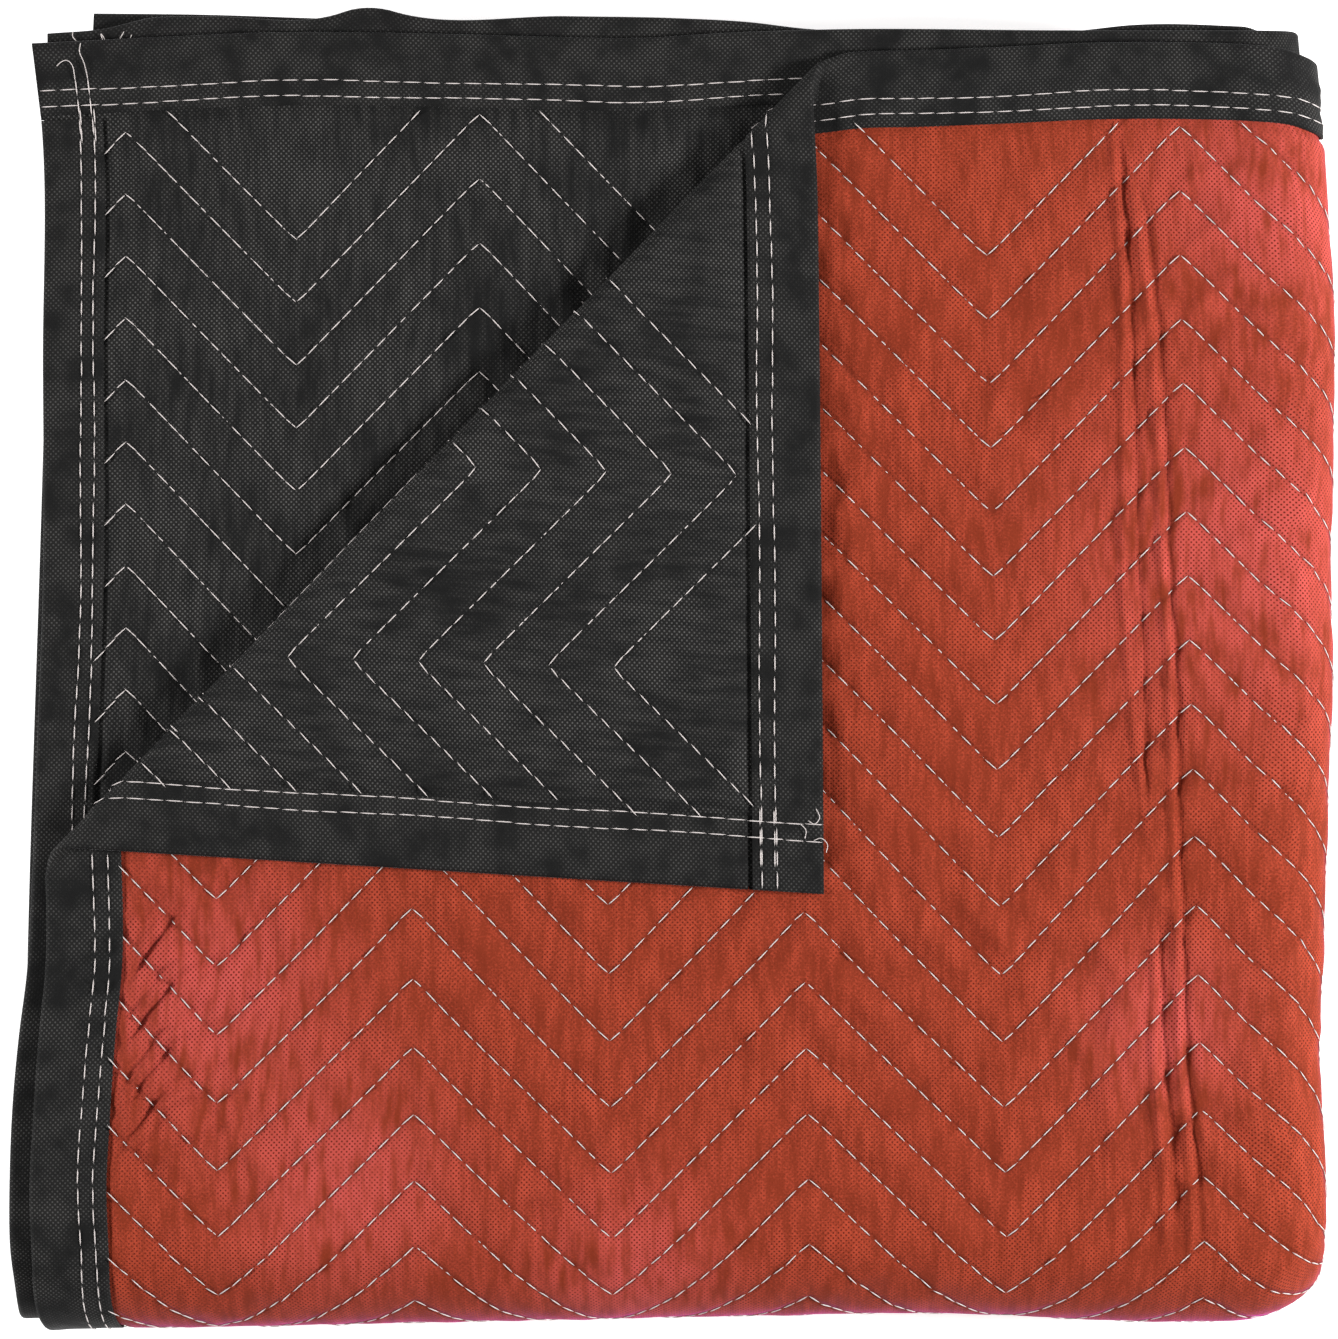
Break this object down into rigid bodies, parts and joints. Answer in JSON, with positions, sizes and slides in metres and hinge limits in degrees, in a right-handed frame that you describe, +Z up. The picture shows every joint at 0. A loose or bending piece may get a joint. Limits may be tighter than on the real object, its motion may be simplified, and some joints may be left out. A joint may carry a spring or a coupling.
{
  "type": "folded moving pad",
  "caption": "Quilted moving pad, red on its face and black on its back, with black bound edges, folded into a square bundle with one corner of the top layer turned back.",
  "frame": {"origin": "centre of the underside, on the surface that the bundle lies on", "axes": "+Z up through the layers, +X towards the right fold, +Y towards the hems along the top"},
  "size_m": [0.5162, 0.5148, 0.0819],
  "materials": {
    "face_cloth": "matt red nonwoven cloth with small bond dots",
    "back_cloth": "matt black nonwoven cloth with small bond dots",
    "binding": "matt black nonwoven tape"
  },
  "bodies": {
    "root": {"face_cloth": "face_cloth", "back_cloth": "back_cloth", "binding_top": "binding", "binding_bottom": "binding", "binding_left": "binding", "binding_right": "binding"}
  },
  "joints": []
}
